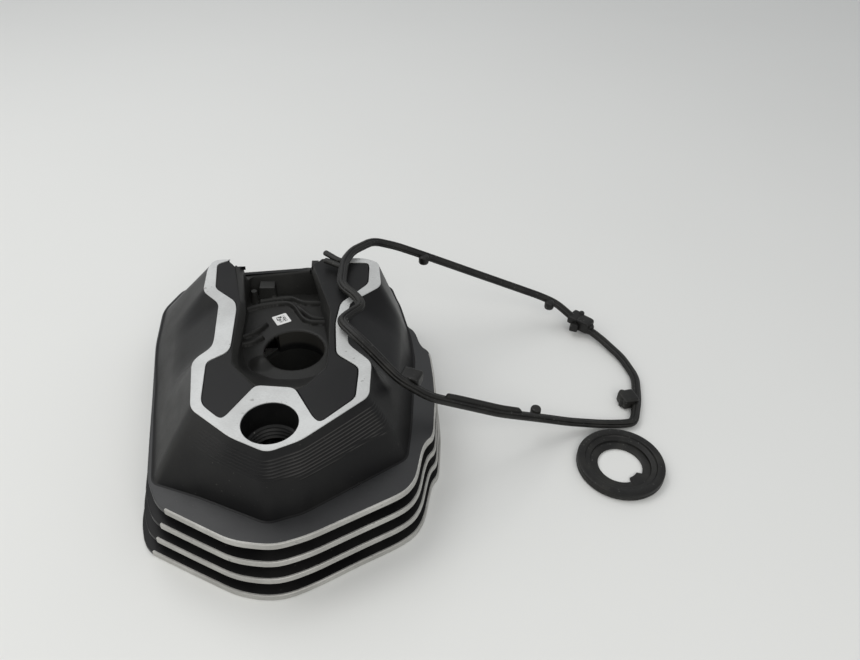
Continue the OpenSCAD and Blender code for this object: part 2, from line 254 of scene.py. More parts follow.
class Finish:
    # a material whose nodes are added one at a time
    def __init__(self, name):
        self.material = bpy.data.materials.new(name)
        self.material.use_nodes = True
        self.tree = self.material.node_tree
        self.shader = self.tree.nodes["Principled BSDF"]

    def node(self, kind, settings=None, inputs=None, output=0):
        # any kind of node: its settings come first, then what its sockets hold or link to
        n = self.tree.nodes.new(kind)
        for key, value in (settings or {}).items():
            setattr(n, key, value)
        for key, value in (inputs or {}).items():
            if isinstance(value, Wire):
                self.tree.links.new(value.socket, n.inputs[key])
            else:
                n.inputs[key].default_value = value
        return Wire(self, n.outputs[output])

    def place(self, scale=(1, 1, 1), turn=0.0):
        # object coordinates, stretched and turned
        coords = self.node("ShaderNodeTexCoord", output="Object")
        return self.node("ShaderNodeMapping", {}, {
            "Vector": coords, "Scale": scale, "Rotation": (0, 0, turn)})

    def noise(self, where, scale, detail=3.0, rough=0.5):
        # layered noise, with the scale in cells for each metre
        return self.node("ShaderNodeTexNoise", {}, {
            "Vector": where, "Scale": scale, "Detail": detail, "Roughness": rough})

    def mixColor(self, factor, a, b):
        # a where the factor is 0, b where it is 1
        n = self.tree.nodes.new("ShaderNodeMix")
        n.data_type = "RGBA"
        for key, value in ((0, factor), (6, a), (7, b)):
            if isinstance(value, Wire):
                self.tree.links.new(value.socket, n.inputs[key])
            else:
                n.inputs[key].default_value = value if key == 0 else (*value, 1)
        return Wire(self, n.outputs[2])

    def band(self, wire, low, high):
        # 0 below low, 1 above high, eased between
        return self.node("ShaderNodeMapRange", {"interpolation_type": "SMOOTHSTEP"}, {
            "Value": wire, "From Min": low, "From Max": high})

    def value(self, name):
        # a number that the mesh stores point by point
        return self.node("ShaderNodeAttribute", {"attribute_name": name}, output="Fac")

    def bump(self, height, strength, distance):
        # a tilted normal: the distance, in metres, is how far a height of 1 stands out
        return self.node("ShaderNodeBump", {}, {
            "Height": height, "Strength": strength, "Distance": distance})

    def feed(self, **sockets):
        # links or sets the shader's own sockets
        for key, value in sockets.items():
            target = self.shader.inputs[key.replace("_", " ")]
            if isinstance(value, Wire):
                self.tree.links.new(value.socket, target)
            else:
                target.default_value = (*value, 1) if isinstance(value, tuple) else value
        return self.material


coatSettings = {
    "tone": (0.0058, 0.0058, 0.0062),    # satin black
    "worn": (0.0125, 0.0125, 0.012),     # rubbed, dusty patches
    "crest": (0.065, 0.063, 0.06),       # painted highlight, laid on the ridge crests
    "dust": (0.12, 0.115, 0.105),
    "gloss": 0.34,
    "shine": 0.2,
    "grain": 0.00012,                    # height of the cast grain, metres
}


def satinCoat(name, settings, highlightAttribute=None, grainScale=900.0):
    # black coat: broad dusty clouds, fine cast grain and specks of dust; where the given
    # attribute is high (ridge crests, the lit top of the well wall) a lighter colour is painted on as
    # a highlight
    f = Finish(name)
    where = f.place()
    clouds = f.noise(where, 22.0, 4.0, 0.6)
    grain = f.noise(where, grainScale, 3.0, 0.55)
    specks = f.band(f.noise(where, 520.0, 1.0, 0.4), 0.765, 0.79)
    wear = f.band(clouds, 0.42, 0.72)
    color = f.mixColor(wear * 0.7, settings["tone"], settings["worn"])
    color = f.mixColor(specks * 0.25, color, settings["dust"])
    rough = settings["gloss"] + wear * 0.10 + grain * 0.10 + specks * 0.2
    height = grain + f.noise(where, 130.0, 2.0, 0.5) * 1.4
    normal = f.bump(height, 0.35, settings["grain"])
    f.shader.inputs["Specular IOR Level"].default_value = settings["shine"]
    if highlightAttribute:
        # painted highlight: the crest colour mixed in where the attribute is high
        crest = f.band(f.value(highlightAttribute), 0.4, 0.95)
        color = f.mixColor(crest * 0.7, color, settings["crest"])
    return f.feed(Base_Color=color, Roughness=rough, Normal=normal)


milledSettings = {
    "tone": (0.60, 0.61, 0.605),
    "dull": (0.47, 0.475, 0.47),
    "nick": (0.28, 0.275, 0.265),
    "metal": 0.55,
    "gloss": 0.46,
}


def bareMilled(name, settings, along):
    # bare cut aluminium: stretched noise for the tool marks, soft clouds, small dull nicks
    f = Finish(name)
    marks = f.noise(f.place(along), 700.0, 2.0, 0.5)
    fine = f.noise(f.place(), 1800.0, 2.0, 0.6)
    clouds = f.noise(f.place(), 30.0, 3.0, 0.55)
    nicks = f.band(f.noise(f.place((1, 1, 1), 0.4), 260.0, 2.0, 0.5), 0.70, 0.73)
    shade = f.band(clouds * 0.6 + marks * 0.4, 0.36, 0.66)
    color = f.mixColor(shade, settings["dull"], settings["tone"])
    color = f.mixColor(nicks * 0.6, color, settings["nick"])
    rough = settings["gloss"] + marks * 0.14 + nicks * 0.15
    normal = f.bump(marks * 0.7 + fine * 0.3 - nicks * 0.6, 0.3, 0.00008)
    f.shader.inputs["Metallic"].default_value = settings["metal"]
    return f.feed(Base_Color=color, Roughness=rough, Normal=normal)


rubberSettings = {
    "tone": (0.0062, 0.006, 0.0055),
    "bloom": (0.022, 0.0215, 0.0185),    # greyish bloom on handled rubber
    "talc": (0.18, 0.18, 0.17),
    "gloss": 0.42,
    "shine": 0.32,
}


def mouldedRubber(name, settings):
    # rubber: grey bloom in clouds, talc specks, a faint moulded grain
    f = Finish(name)
    where = f.place()
    bloom = f.band(f.noise(where, 55.0, 4.0, 0.6), 0.40, 0.75)
    talc = f.band(f.noise(where, 620.0, 1.0, 0.4), 0.70, 0.75)
    grain = f.noise(where, 1300.0, 2.0, 0.5)
    color = f.mixColor(bloom * 0.8, settings["tone"], settings["bloom"])
    color = f.mixColor(talc * 0.25, color, settings["talc"])
    rough = settings["gloss"] + bloom * 0.16 + talc * 0.1
    f.shader.inputs["Specular IOR Level"].default_value = settings["shine"]
    return f.feed(Base_Color=color, Roughness=rough, Normal=f.bump(grain, 0.25, 0.00012))


labelSettings = {"centre": (-11.5, 34.0), "side": 11.0, "turn": 27.0, "cells": 11,
                 "printed": 0.62}            # share of the side that the pattern takes


def printedLabel(name, settings):
    # white film with a patch of random dark cells that stand for no code
    f = Finish(name)
    turn = math.radians(settings["turn"])
    cx, cy = settings["centre"]
    patch = settings["side"] * mm * settings["printed"]
    cells = settings["cells"] / patch
    coords = f.node("ShaderNodeTexCoord", output="Object")
    local = f.node("ShaderNodeVectorMath", {"operation": "SUBTRACT"},
                   {0: coords, 1: (cx * mm, cy * mm, 0)})
    local = f.node("ShaderNodeVectorRotate", {"rotation_type": "Z_AXIS"},
                   {"Vector": local, "Angle": -turn})
    x = f.node("ShaderNodeSeparateXYZ", {}, {0: local})
    y = Wire(f, x.socket.node.outputs[1])
    half = patch / 2
    inside = (half - x.calc("ABSOLUTE")).calc("GREATER_THAN", 0.0)
    inside = inside * (half - y.calc("ABSOLUTE")).calc("GREATER_THAN", 0.0)
    snapped = f.node("ShaderNodeCombineXYZ", {}, {
        0: (x * cells).calc("FLOOR"), 1: (y * cells).calc("FLOOR"), 2: 3.7})
    dots = f.node("ShaderNodeTexWhiteNoise", {"noise_dimensions": "3D"}, {"Vector": snapped})
    dark = dots.calc("GREATER_THAN", 0.52) * inside
    paper = f.noise(f.place(), 900.0)
    color = f.mixColor(dark, (0.86, 0.86, 0.85), (0.05, 0.05, 0.05))
    return f.feed(Base_Color=color, Roughness=0.42 + paper * 0.12,
                  Normal=f.bump(paper, 0.15, 0.00006))


coat = satinCoat("satin coat", coatSettings)    # fins, base wall and neck
flankCoat = satinCoat("flank coat", coatSettings, highlightAttribute="ridge")
# lighter, bluer tone and worn colour than the satin coat: painted reflection of the sky on the
# upward-facing ledge, which carries the same black coat
ledgeCoat = satinCoat("ledge coat", dict(coatSettings, gloss=0.42, shine=0.6,
                      tone=(0.0105, 0.011, 0.012), worn=(0.019, 0.0195, 0.021)))
padCoat = satinCoat("pad coat", dict(coatSettings, gloss=0.33, grain=0.00006), grainScale=1500.0)
insideCoat = satinCoat("inside coat", dict(coatSettings, gloss=0.44, grain=0.0002, shine=0.28,
                       tone=(0.017, 0.017, 0.016), worn=(0.027, 0.027, 0.025)))
# its crest colour is a painted highlight on the lit top of the well wall, where the height value is
# high
skirtCoat = satinCoat("skirt coat", dict(coatSettings, gloss=0.5,
                      crest=(0.05, 0.048, 0.043)), highlightAttribute="height")
landMetal = bareMilled("milled land", milledSettings, (1.0, 5.0, 1.0))
edgeMetal = bareMilled("fin edge metal", dict(milledSettings, tone=(0.52, 0.515, 0.49),
                       dull=(0.36, 0.355, 0.335)), (1.0, 1.0, 9.0))
# near-black tone: painted shade on the thread down in the filler bore, in place of the cut metal's
# own colour
threadShadeMetal = bareMilled("thread metal", dict(milledSettings, metal=0.1, tone=(0.02, 0.02, 0.019),
                         dull=(0.012, 0.012, 0.012)), (1.0, 1.0, 14.0))
rubber = mouldedRubber("moulded rubber", rubberSettings)
labelFilm = printedLabel("label film", labelSettings)
print("finishes made")


# the cover

# corners in millimetres, back left first, then round the front to the back right: the bottom
# fin, the top fin, the dome's foot, its fold and its top edge
lowLine = [[-100, 91], [-108, 69], [-105, 22], [-98, -34], [-95, -70], [-92.5, -101], [-86.5, -120],
           [-55, -138], [-28, -153], [-12, -157], [2, -156.5], [18, -150], [44, -136.5],
           [68, -125], [79, -117], [85, -106], [89, -90], [92, -78], [97, -72], [101, -39],
           [101.5, -15], [100.5, 8], [94, 15], [90, 32], [84, 39], [81, 60], [74, 91]]
highLine = [[-92, 91], [-103.5, 63], [-101, 22], [-92, -34], [-86.5, -70], [-81.5, -101],
            [-72, -121], [-45, -137], [-27, -147.5], [-9, -151], [0, -151], [16, -146],
            [44, -132], [68, -120], [74, -115], [79, -107], [84, -85], [87, -79], [92, -74],
            [96, -41], [96.5, -16], [95.5, 8], [89, 15], [86, 32], [80, 38.5], [77, 60],
            [70.5, 91]]
footLine = [[-60, 88], [-89, 88], [-100.8, 62.5], [-98.5, 22], [-96, 5], [-90.5, -24],
            [-89, -34], [-87.3, -45], [-85.5, -55], [-77, -104], [-48, -116], [-8, -136],
            [12, -130], [73, -92], [77, -65], [79, -45], [80, -33], [83, 0], [81.5, 24],
            [75.5, 62], [68, 89]]
foldLine = [[-53, 77], [-75, 73], [-84, 58], [-81.5, 24], [-78.5, 6], [-75, -24], [-74, -34],
            [-72.5, -45], [-71.5, -55], [-66, -97], [-38, -115], [-7, -131], [12.5, -124],
            [64, -88.5], [68, -61], [70, -43], [70.5, -33], [72, 2], [74, 25], [68, 60],
            [58, 76]]
topLine = [[-39, 63], [-59, 62], [-62, 52], [-61, 24], [-48.5, 10], [-46.2, -29], [-47, -36],
           [-54.5, -45], [-56.5, -51], [-51, -89], [-26, -112], [-5, -124], [13, -116],
           [51, -83], [53, -53], [39, -36], [38, -31], [39, 8], [61, 27], [60, 56], [50, 62]]
# the milled frame's inner edge, the other way round
frameInner = [[38, 57], [52, 56], [53, 51], [52, 30], [33, 8], [30, -13], [31, -44], [44, -56],
              [45, -60], [43, -84], [23, -103], [19, -99], [7, -74], [-16, -71], [-31, -97],
              [-34, -97], [-44, -87], [-46, -82], [-48, -49], [-37, -41], [-35, -36], [-36, 4],
              [-38, 12], [-53, 27], [-56, 57], [-49, 60.8]]
# the channel: its floor, the foot of the rim's chamfer, and the chamfer's top
chanLow = [[-35, 69], [-37, 50], [-37, 14], [-36.5, 0], [-30, -20], [-13, -30], [0, -31],
           [10, -30], [20, -26], [24, -18], [24.5, 1], [22, 16], [16.5, 52], [13, 68]]
chanTop = [[-38.5, 69], [-38, 54], [-31, 10], [-31, -39], [-29, -50], [-16, -69], [7, -72],
           [12, -71], [24, -55], [25, -36], [25, 1], [21, 16], [10.5, 57], [8.5, 68]]
chanRim = [[-43, 69], [-42.5, 55], [-34.2, 10.5], [-34, -37.5], [-32, -51.5], [-16.3, -70.8],
           [7, -73.6], [13, -72], [25.2, -55.5], [26.2, -36], [26.2, 1], [22.2, 16.3],
           [11.7, 57], [9.2, 68]]
coverSettings = {
    "top": 91.0, "ledge": 45.5, "fold": 66.0, "wall": 2.4,
    "rearRim": (70.0, 77.5),             # the channel's back rim, at its left and right ends
    "ridges": 12, "ridgePitch": 2.25, "ridgeStart": 5.0, "ridgeHigh": 0.5,
    "filler": (-5.0, -102.0, 16.0),      # centre and radius of the filler hole
    "well": 21.0, "floor": 57.0,         # radius of the plug well, height of the channel floor
}


def rimHeight(x, y, s, onFlank):
    # the rear rim: full height beside the channel, low and slanting across it
    low, high = s["rearRim"]
    base = low + (high - low) * np.clip((x + 38) / 46, 0, 1)
    if onFlank:
        fall = smooth(x, -49, -40) * (1 - smooth(x, 10.3, 11.3)) * (y > 40)
    else:
        fall = np.where(x < -15, smooth(y, 55, 66), smooth(y, 57.6, 60))
    return s["top"] - 0.6 - (s["top"] - 0.6 - base) * fall


def coverFlank(s):
    # between the top, fold and foot outlines the surface is straight down the slope, with a
    # quadratic bend at the fold; cosine ridges stand on its front between two depths; the
    # rows then turn over the edge and come down inside as a wall
    top, fold, foot = [filledLoop(l) for l in (topLine, foldLine, footLine)]
    zTop = s["top"] - 0.7
    rows = np.array([withZ(top, zTop), withZ(fold, s["fold"]), withZ(foot, s["ledge"] + 0.3)])
    w = np.concatenate([np.linspace(0, 0.8, 120), np.linspace(0.81, 1.19, 12),
                        np.linspace(1.2, 2, 14)])
    v = w[:, None, None]
    straight = np.where(v < 1, rows[0] + (rows[1] - rows[0]) * v,
                        rows[1] + (rows[2] - rows[1]) * (v - 1))
    t = np.clip((v - 0.8) / 0.4, 0, 1)
    a = rows[0] * 0.2 + rows[1] * 0.8
    b = rows[1] * 0.8 + rows[2] * 0.2
    curve = a * (1 - t) ** 2 + rows[1] * 2 * t * (1 - t) + b * t * t
    slope = np.where((v > 0.8) & (v < 1.2), curve, straight)

    # ridges: raised cosines of the distance down the slope, faded along the edge
    lean = np.linalg.norm(rows[1] - rows[0], axis=1)
    down = w[:, None] * lean[None]
    x = top[:, 0]
    along = 0.35 * smooth(x, -44, -34) + 0.35 * smooth(x, -14, -4) + 0.3 * smooth(x, 2, 14)
    along = along * (1 - smooth(x, 46, 53)) * (top[:, 1] < -80)
    phase = (down - s["ridgeStart"]) / s["ridgePitch"]
    reach = s["ridges"] * (0.62 + 0.38 * smooth(x, -5, 25))
    inside = smooth(phase, 0, 0.3) * (1 - smooth(phase, reach - 2.5, reach))
    wave = (0.5 - 0.5 * np.cos(2 * math.pi * phase)) ** 1.5
    ridge = wave * inside * along[None] * (w < 0.95)[:, None]
    across = np.gradient(slope, axis=1)
    alongSlope = np.gradient(slope, axis=0)
    out = np.cross(across, alongSlope)
    out /= np.maximum(np.linalg.norm(out, axis=2, keepdims=True), 1e-9)
    # the normals point outwards where they lean away from the cover's middle: one row tells
    facing = np.sign((out[20, :, :2] * (top - coverMiddle)).sum())
    slope = slope + out * facing * (ridge * s["ridgeHigh"])[..., None]

    def ring(loop, z):
        # one more row of the surface: a filled outline at one height
        return withZ(filledLoop(loop), z)[None]

    over = [ring(insetLoop(topLine, 1.6), zTop + 0.2), ring(insetLoop(topLine, 0.5), zTop + 0.35),
            ring(insetLoop(topLine, 0.12), zTop + 0.2)]
    fillet = [ring(insetLoop(footLine, -0.5), s["ledge"] + 0.1),
              ring(insetLoop(footLine, -1.3), s["ledge"] + 0.02)]
    wall = s["wall"]
    inner = [ring(insetLoop(footLine, wall), s["ledge"] + 0.02),
             ring(insetLoop(foldLine, wall), s["fold"]),
             ring(insetLoop(topLine, wall), s["top"] - 4.2),
             ring(insetLoop(topLine, 1.8), s["top"] - 4.0)]
    p = np.concatenate(over + [slope] + fillet + inner).transpose(1, 0, 2)
    # at the back the surface stops at the rim: points above it slide down their column
    rim = rimHeight(top[:, 0], top[:, 1], s, True)
    outer = 3 + len(w) + 2
    for grid in (p[:, :outer], p[:, outer:][:, ::-1]):
        stack = grid.transpose(1, 0, 2)
        zz = stack[..., 2]
        above = zz > rim[None]
        place = np.argmax(~above, axis=0)
        cols = np.arange(stack.shape[1])
        lower = stack[place, cols]
        upper = stack[np.maximum(place - 1, 0), cols]
        t = np.clip((rim - lower[:, 2]) / np.maximum(upper[:, 2] - lower[:, 2], 1e-6), 0, 1)
        crossing = lower + (upper - lower) * t[:, None]
        stack[:] = np.where(above[..., None] & (rim < zTop - 0.3)[None, :, None],
                            crossing[None], stack)
    # the ridge heights are kept as an attribute so that the flank coat paints a highlight on the
    # crests
    values = np.zeros(p.shape[:2])
    values[:, 3:3 + len(w)] = ridge.T
    return gridPiece("coverFlank", p, "cover", flankCoat, ["dome_shell"],
                     soft=40, values={"ridge": values})


coverFlank(coverSettings)
print("flank made")

finSettings = {
    "count": 4, "thick": 4.5, "reach": 8.0, "round": 0.9, "stand": 9.0,
    "strip": (6.75, 21.4),              # bare stretch, in corners of the outline
    "stripIn": 0.14, "stripRound": 0.35,
}


def finOutline(i, s):
    # corner by corner between the bottom fin's outline and the top fin's
    t = i / (s["count"] - 1)
    return np.asarray(lowLine, float) * (1 - t) + np.asarray(highLine, float) * t


def finPlates(s, cover):
    # each plate: a section with rounded outer corners carried round the outline
    pitch = (cover["ledge"] - s["thick"]) / (s["count"] - 1)
    hole = softLoop(insetLoop(highLine, s["stand"] + 0.02))
    reach = s["reach"]
    underDome = softLoop(insetLoop(footLine, 3.0))
    skirtIn = softLoop(insetLoop(highLine, s["stand"] + 4))
    a = np.linspace(-math.pi / 2, math.pi / 2, 9)
    for i in range(s["count"]):
        line = finOutline(i, s)
        z = pitch * i
        r = s["round"]
        loops = [withZ(softLoop(insetLoop(line, s["stripIn"] + r * (1 - math.cos(b))), reach),
                       z + s["thick"] / 2 + (s["thick"] / 2 - r) * np.sign(b) + r * math.sin(b))
                 for b in a if abs(b) > 1e-6]
        outer = softLoop(line, reach)
        inner = sameBearing(outer, hole)
        if i == s["count"] - 1:
            inDome, inSkirt = sameBearing(outer, underDome), sameBearing(outer, skirtIn)
            domeFar, skirtFar = [np.linalg.norm(l - coverMiddle, axis=1)
                                 for l in (inDome, inSkirt)]
            near = domeFar < skirtFar
            inner = np.where(near[:, None], inDome, inSkirt)
        loops = [withZ(inner, z)] + loops + [withZ(inner, z + s["thick"])]
        finish = ledgeCoat if i == s["count"] - 1 else coat
        gridPiece("finPlate%d" % (i + 1), np.stack(loops, axis=1), "cover", finish,
                  ["fin_%d" % (i + 1)], soft=45)


def finEdges(s, cover):
    # bare strip: a thin skin on the fin's edge face between its two chamfers
    pitch = (cover["ledge"] - s["thick"]) / (s["count"] - 1)
    first, last = [int(k * 8) for k in s["strip"]]
    for i in range(s["count"]):
        line = finOutline(i, s)
        z0, z1, c = pitch * i, pitch * i + s["thick"], s["stripRound"]
        section = [(1.15, z0 + 0.05), (c, z0 + 0.01), (0.0, z0 + c), (0.0, z1 - c),
                   (c, z1 - 0.01), (1.15, z1 + 0.01), (1.15, z1 - 0.3), (0.5, z1 - 0.8),
                   (0.5, z0 + 0.8), (1.15, z0 + 0.3)]
        loops = [withZ(softLoop(insetLoop(line, d), s["reach"])[first:last + 1], z)
                 for d, z in section]
        gridPiece("finEdge%d" % (i + 1), np.stack(loops, axis=1), "cover",
                  edgeMetal, ["fin_edge_%d" % (i + 1)], closeU=False, soft=30, capEnds=True)


finPlates(finSettings, coverSettings)
finEdges(finSettings, coverSettings)
print("fins made")

landSettings = {"thick": 1.0, "gap": 0.45, "edge": 0.22, "padEdge": 0.7, "padDrop": 0.45}


def circle(x, y, r, count=96):
    # evenly spaced points at one radius
    a = np.arange(count) * 2 * math.pi / count
    return np.column_stack([x + r * np.cos(a), y + r * np.sin(a)])


def milledFrame(s, cover):
    # band between the dome's edge and the pads, with the filler hole through its front
    fx, fy, fr = cover["filler"]
    outer = np.concatenate([[[-47.5, 62.7]], topLine[1:], [[38, 62.3]]])
    outer = shiftLine(softLine(outer), 0.14)
    loop = np.concatenate([outer, softLine(frameInner, 4.0)])
    platePiece("milledFrame", [loop, circle(fx, fy, fr + 0.25)[::-1]], cover["top"] - s["thick"],
               cover["top"], "cover", landMetal, ["milled_frame"], s["edge"])


def blackPads(s, cover):
    # each side's pad follows the frame on one side and the channel's rim on the other
    low, high = cover["top"] - 4.0, cover["top"] - s["padDrop"]
    left = softLine([[-16.6, -72.0]] + frameInner[14:], 4.0)
    lip = softLine([[-49.3, 60.4], [-43.3, 54.6], [-34.5, 10.5], [-34.3, -37.6],
                    [-32.4, -51.6], [-17.4, -71.2]], 3.0)
    platePiece("padLeft", [np.concatenate([shiftLine(left, -s["gap"]), lip])], low, high,
               "cover", padCoat, ["pad_front_left", "pad_rear_left"],
               s["padEdge"], 3)
    right = softLine([[37, 57]] + frameInner[1:12] + [[7.9, -75.5]], 4.0)
    lip = softLine([[13.2, -72.0], [25.5, -55.4], [26.5, -36], [26.5, 1], [22.5, 16.4],
                    [12.0, 56.6], [20.4, 62.3], [36, 61.8]], 3.0)
    platePiece("padRight", [np.concatenate([shiftLine(right, -s["gap"]), lip])], low, high,
               "cover", padCoat, ["pad_front_right", "pad_rear_right"],
               s["padEdge"], 3)


milledFrame(landSettings, coverSettings)
blackPads(landSettings, coverSettings)
print("frame and pads made")

channelSettings = {
    "tray": (-44, 32, -38, 74),          # the stretch of floor that is worked out
    "step": 0.5, "bead": 1.8, "beadHigh": 3.2, "thick": 3.4,
    "beads": [[[-37, 45], [-29, 49], [-16, 52], [-8, 52], [-3, 48], [4, 33], [9, 28.5], [25, 28]],
              [[-28, 54.5], [-16, 57.5], [-6, 58.5], [-1, 55], [3, 52], [22, 51]],
              [[0, 46.5], [9, 35], [13, 32.5], [25, 32]],
              [[-22, 27], [-27, 19], [-38, 13]],
              [[-23.5, 12], [-30, 6.5], [-38, 5]]],
    "block": (-23.0, 62.0, 6.0, 5.0, 11.5),     # centre, half sizes, height
    "post": (-32.5, 56.0, 2.8, 10.0),           # centre, radius, height
    "dome": (-21.0, -14.0, 9.5, 3.6),
    "cheekY": (54.5, 67.0),                     # front and back
    "wallX": (-38.8, 14.0), "wallFront": 64.0,
    "cheeks": [("rimCheekLeft", -50.0, -39.3, 66.0), ("rimCheekRight", 11.2, 16.0, 76.0)],
}


def channelTray(s, cover):
    # a height over every point of the floor: flat, with round-backed beads (a parabola of the
    # distance from each line), a block, a post and a low dome; the well is cut out of it
    x0, x1, y0, y1 = s["tray"]
    n1 = int(round((x1 - x0) / s["step"])) + 1
    n2 = int(round((y1 - y0) / s["step"])) + 1
    x, y = np.meshgrid(np.linspace(x0, x1, n1), np.linspace(y0, y1, n2), indexing="ij")
    p = np.column_stack([x.ravel(), y.ravel()])
    r = np.hypot(p[:, 0], p[:, 1])
    near = np.abs(r - cover["well"]) < s["step"] * 0.5
    p[near] *= (cover["well"] / r[near])[:, None]
    r = np.hypot(p[:, 0], p[:, 1])
    h = np.zeros(len(p))
    for line in s["beads"]:
        d = lineDistance(p, softLine(line, 4.0, 6)) / s["bead"]
        h = np.maximum(h, s["beadHigh"] * np.sqrt(np.clip(1 - d * d, 0, 1)))
    bx, by, bw, bd, bh = s["block"]
    box = np.maximum(np.abs(p[:, 0] - bx) - bw, np.abs(p[:, 1] - by) - bd)
    h = np.maximum(h, bh * (1 - smooth(box, -0.6, 0.6)))
    px, py, pr, ph = s["post"]
    h = np.maximum(h, ph * (1 - smooth(np.hypot(p[:, 0] - px, p[:, 1] - py), pr - 0.6, pr + 0.5)))
    dx, dy, dr, dh = s["dome"]
    h = np.maximum(h, dh * (1 - smooth(np.hypot(p[:, 0] - dx, p[:, 1] - dy), 0, dr)) ** 0.8)
    rim = 0.5 * (1 - smooth(r, cover["well"], cover["well"] + 1.2))
    z = cover["floor"] + h - rim
    faces = np.array(gridFaces(n1, n2, False, False))
    mid = p[faces].mean(axis=1)
    keep = np.hypot(mid[:, 0], mid[:, 1]) > cover["well"] - s["step"] * 0.2
    keep &= insideLoop(softLoop(insetLoop(chanLow, -1.9), 5.0, 4), mid)
    piece = makePiece("channelTray", np.column_stack([p, z]), faces[keep].tolist(), "cover",
                      insideCoat,
                      ["channel_floor", "channel_beads", "channel_bosses"], soft=60)
    bm = bmesh.new()
    bm.from_mesh(piece.data)
    bmesh.ops.delete(bm, geom=[v for v in bm.verts if not v.link_faces], context="VERTS")
    if sum(f.normal.z for f in bm.faces) < 0:
        bmesh.ops.reverse_faces(bm, faces=bm.faces)
    bm.to_mesh(piece.data)
    bm.free()
    wall = piece.modifiers.new("floor", "SOLIDIFY")
    wall.thickness = s["thick"] * mm
    wall.offset = -1
    return piece


def insideLoop(loop, pts):
    # crossings of a ray to the right, counted over all sides at once
    a, b = loop, np.roll(loop, -1, axis=0)
    x, y = pts[:, 0][:, None], pts[:, 1][:, None]
    cross = (a[:, 1] > y) != (b[:, 1] > y)
    run = np.where(np.abs(b[:, 1] - a[:, 1]) < 1e-9, 1e-9, b[:, 1] - a[:, 1])
    at = (b[:, 0] - a[:, 0]) * (y - a[:, 1]) / run + a[:, 0]
    return (cross & (x < at)).sum(axis=1) % 2 == 1


def channelSides(cover):
    # walls between the floor and the rim's outline, eased into the floor by a fillet, then a
    # chamfer out to the pads, with the whole surface held below the rear rim
    low, top = np.asarray(chanLow, float), np.asarray(chanTop, float)
    z0, z1 = cover["floor"], cover["top"] - 7.0
    steps = np.concatenate([[0.0, 0.02, 0.05], np.linspace(0.1, 1.0, 14)])
    fillet = 1.6 * (1 - np.minimum(1, steps / 0.1)) ** 2
    inner = [withZ(softLoop(insetLoop(low * (1 - t) + top * t, f)), z0 - 0.4 + (z1 - z0 + 0.4) * t)
             for t, f in zip(steps, fillet)]
    ease = [withZ(softLoop(top * 0.9 + np.asarray(chanRim) * 0.1), z1 + 1.1)]
    rim = [withZ(softLoop(chanRim), cover["top"] - 0.9),
           withZ(softLoop(insetLoop(chanRim, -0.3)), cover["top"] - 0.8),
           withZ(softLoop(insetLoop(chanRim, -1.2)), cover["top"] - 1.6)]
    outer = [withZ(softLoop(insetLoop(low * (1 - t) + top * t, -2.5)), z0 - 4 + (z1 - z0 + 4) * t)
             for t in (1.0, 0.5, 0.0)]
    p = np.stack(inner + ease + rim + outer, axis=1)
    limit = rimHeight(p[..., 0], p[..., 1], cover, False)
    p[..., 2] = np.minimum(p[..., 2], limit)
    return gridPiece("channelSides", p, "cover", insideCoat, ["channel_walls"],
                     soft=40)


def rimCheeks(s, cover):
    # solid corners between the channel's back end and the flank, cut down to the rear rim
    front, back = s["cheekY"]
    nx, ny = 24, 14
    for name, x0, x1, foot in s["cheeks"]:
        x = np.linspace(x0, x1, nx)
        y = np.linspace(back, front, ny)
        slope = cover["top"] - 1.2 - np.maximum(y - 61.5, 0) * 2.1
        over = np.minimum(rimHeight(x, np.full(nx, back), cover, True)[:, None] - 0.25, slope)
        yy = np.broadcast_to(np.concatenate([[front, back], y]), (nx, ny + 2))
        zz = np.concatenate([np.full((nx, 2), foot), over], axis=1)
        gridPiece(name, np.stack([np.broadcast_to(x[:, None], yy.shape), yy, zz], axis=2),
                  "cover", insideCoat, closeU=False, soft=30, capEnds=True)


def rimWall(s, cover):
    # the channel's back wall, leaning back from the floor to just above the rear rim
    x = np.linspace(*s["wallX"], 40)
    one = np.ones(len(x))
    top = rimHeight(np.clip(x, -39.9, 10.2), one * 60.0, cover, True) + 0.12
    foot = cover["floor"] - 1.0
    front, edge, back = s["wallFront"], 69.4 - 0.42 * (top - 70), 70.6 - 0.46 * (top - 70)
    y = np.stack([one * front, one * front, edge - 0.7, edge - 0.2, edge + 0.2,
                  back - 0.3, back - 0.3, one * 68.0], axis=1)
    z = np.stack([one * foot, one * (foot + 1.0), top - 1.6, top - 0.4, top,
                  top, top - 2.0, one * foot], axis=1)
    gridPiece("rimWall", np.stack([np.broadcast_to(x[:, None], y.shape), y, z], axis=2),
              "cover", insideCoat, closeU=False, soft=35, capEnds=True)


channelTray(channelSettings, coverSettings)
channelSides(coverSettings)
rimCheeks(channelSettings, coverSettings)
rimWall(channelSettings, coverSettings)
print("channel made")


def turned(profile, centre, count=128, start=0.0, sweep=2 * math.pi):
    # radius and height pairs carried round an upright axis
    full = abs(sweep - 2 * math.pi) < 1e-6
    a = start + np.arange(count) * sweep / (count if full else count - 1)
    r, z = np.asarray(profile, float).T
    return np.stack([centre[0] + np.cos(a)[:, None] * r, centre[1] + np.sin(a)[:, None] * r,
                     np.broadcast_to(z, (count, len(z)))], axis=2)


wellSettings = {"wall": 4.0, "seat": 31.5,
                "window": (2.20, 3.55), "windowFrom": 40.0}    # radians, and the sill's height


